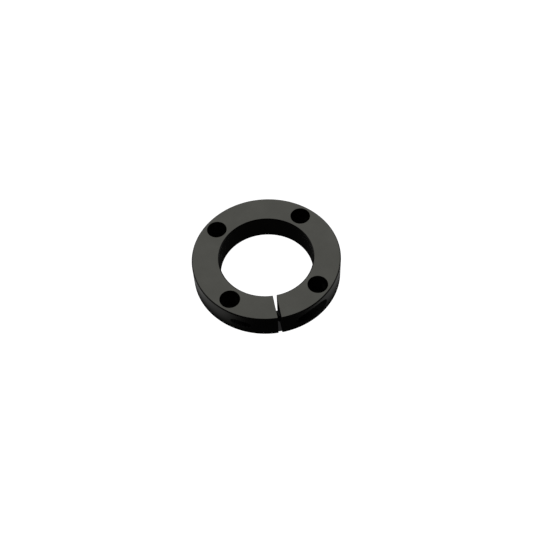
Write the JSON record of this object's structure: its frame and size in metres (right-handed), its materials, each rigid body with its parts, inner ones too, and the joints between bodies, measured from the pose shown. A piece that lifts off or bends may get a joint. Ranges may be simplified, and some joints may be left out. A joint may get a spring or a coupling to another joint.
{
  "type": "shaft collar",
  "caption": "One-piece clamping shaft collar: a slit steel ring with axial mounting holes and a tangential socket head clamp screw.",
  "frame": {"origin": "shaft axis at the collar's bottom face", "axes": "+Z along the shaft axis; the slit faces -Y; the clamp screw lies along X with its head towards +X"},
  "size_m": [0.0604, 0.0604, 0.0109],
  "materials": {
    "ring_black_oxide": "black oxide, satin, turned faces",
    "screw_black_oxide": "black oxide, lightly oiled"
  },
  "bodies": {
    "ring": {"collar_ring": "ring_black_oxide"},
    "screw": {"clamp_screw": "screw_black_oxide"}
  },
  "joints": [
    {"name": "clamp_screw_turn", "type": "hinge", "parent": "ring", "child": "screw", "pos_m": [0, -0.0259, 0.00545], "axis": [1, 0, 0], "continuous": true}
  ]
}
